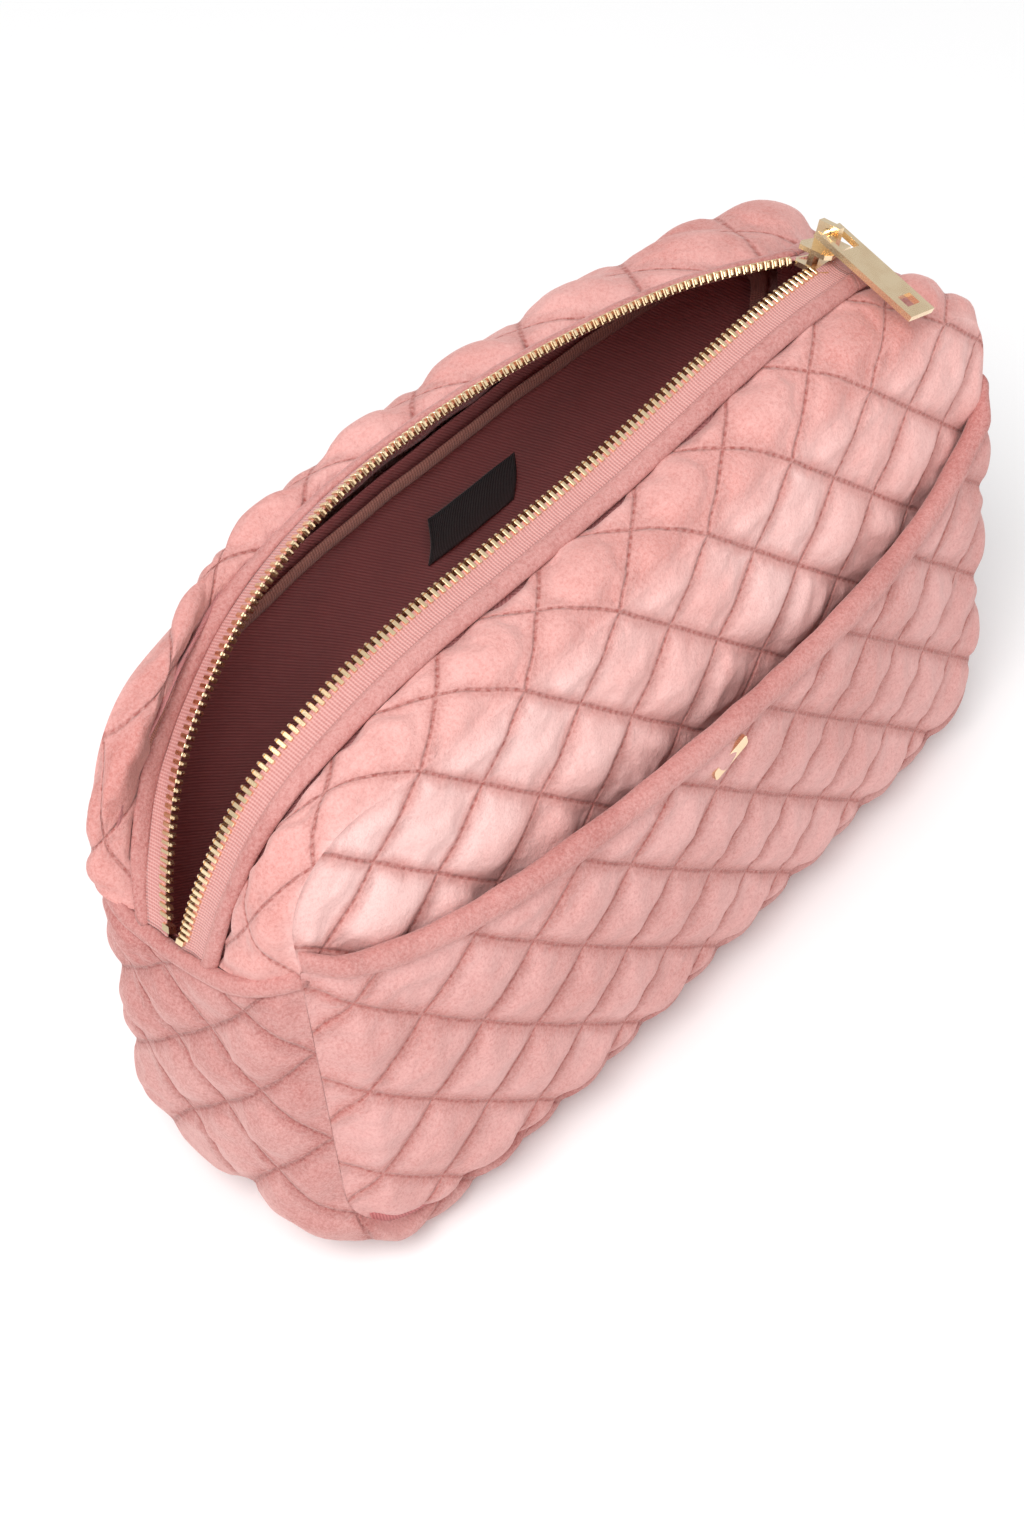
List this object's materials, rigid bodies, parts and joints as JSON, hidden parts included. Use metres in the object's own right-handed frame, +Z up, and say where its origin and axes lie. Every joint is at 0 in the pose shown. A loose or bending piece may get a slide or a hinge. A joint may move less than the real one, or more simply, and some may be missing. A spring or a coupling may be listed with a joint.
{
  "type": "quilted velvet makeup bag",
  "caption": "Soft quilted velvet makeup bag with an open zipped top, a bound slip pocket on the front and a metal zip puller.",
  "frame": {"origin": "centre of the bag's box at the level it stands on", "axes": "+X along the zip towards the parked slider, -Y towards the front with the slip pocket, +Z up"},
  "size_m": [0.2653, 0.1037, 0.1746],
  "materials": {
    "quilted_velvet": "dusty pink velvet, diamond quilted",
    "plain_velvet": "dusty pink velvet, unquilted",
    "wadding": "polyester wadding",
    "lining_twill": "dark rose twill",
    "ribbed_tape": "ribbed woven binding tape",
    "label_weave": "blank black woven label",
    "zip_tape": "woven zip tape",
    "zip_metal": "pale gold polished metal",
    "plate_metal": "pale gold satin metal"
  },
  "bodies": {
    "bag": {"front_panel": "quilted_velvet", "back_panel": "quilted_velvet", "side_base_band": "quilted_velvet", "front_zip_strip": "quilted_velvet", "back_zip_strip": "quilted_velvet", "pocket_panel": "quilted_velvet", "pocket_binding": "plain_velvet", "front_wadding": "wadding", "back_wadding": "wadding", "band_wadding": "wadding", "front_strip_wadding": "wadding", "back_strip_wadding": "wadding", "pocket_wadding": "wadding", "front_lining": "lining_twill", "back_lining": "lining_twill", "band_lining": "lining_twill", "front_strip_lining": "lining_twill", "back_strip_lining": "lining_twill", "pocket_lining": "lining_twill", "front_seam_binding": "ribbed_tape", "back_seam_binding": "ribbed_tape", "label": "label_weave", "closed_tape": "zip_tape", "closed_teeth": "zip_metal", "bottom_stop": "zip_metal", "pocket_plate": "plate_metal", "plate_washer": "plate_metal"},
    "front_mouth": {"front_tape": "zip_tape", "front_teeth": "zip_metal", "front_top_stop": "zip_metal"},
    "back_mouth": {"back_tape": "zip_tape", "back_teeth": "zip_metal", "back_top_stop": "zip_metal"},
    "slider": {"slider_body": "zip_metal", "slider_crown": "zip_metal"},
    "puller": {"puller": "zip_metal"}
  },
  "joints": [
    {"name": "back_mouth_close", "type": "hinge", "parent": "bag", "child": "back_mouth", "pos_m": [-0.13, 0.003, 0.1085], "axis": [0.9672, -0.035, 0.2516], "range_deg": [0, 45]},
    {"name": "front_mouth_close", "type": "hinge", "parent": "bag", "child": "front_mouth", "pos_m": [-0.13, 0.003, 0.1085], "axis": [-0.9672, 0.035, -0.2516], "range_deg": [0, 10]},
    {"name": "slider_travel", "type": "hinge", "parent": "bag", "child": "slider", "pos_m": [-0.00228, -0.00162, -0.08621], "axis": [-0.0362, -0.9993, 0], "range_deg": [0, 38]},
    {"name": "puller_swing", "type": "hinge", "parent": "slider", "child": "puller", "pos_m": [0.09312, -0.005, 0.17183], "axis": [-0.9397, 0, 0.342], "range_deg": [0, 165]}
  ],
  "couplings": [
    {"joint": "front_mouth_close", "follows": "back_mouth_close", "ratio": 0.22222}
  ]
}
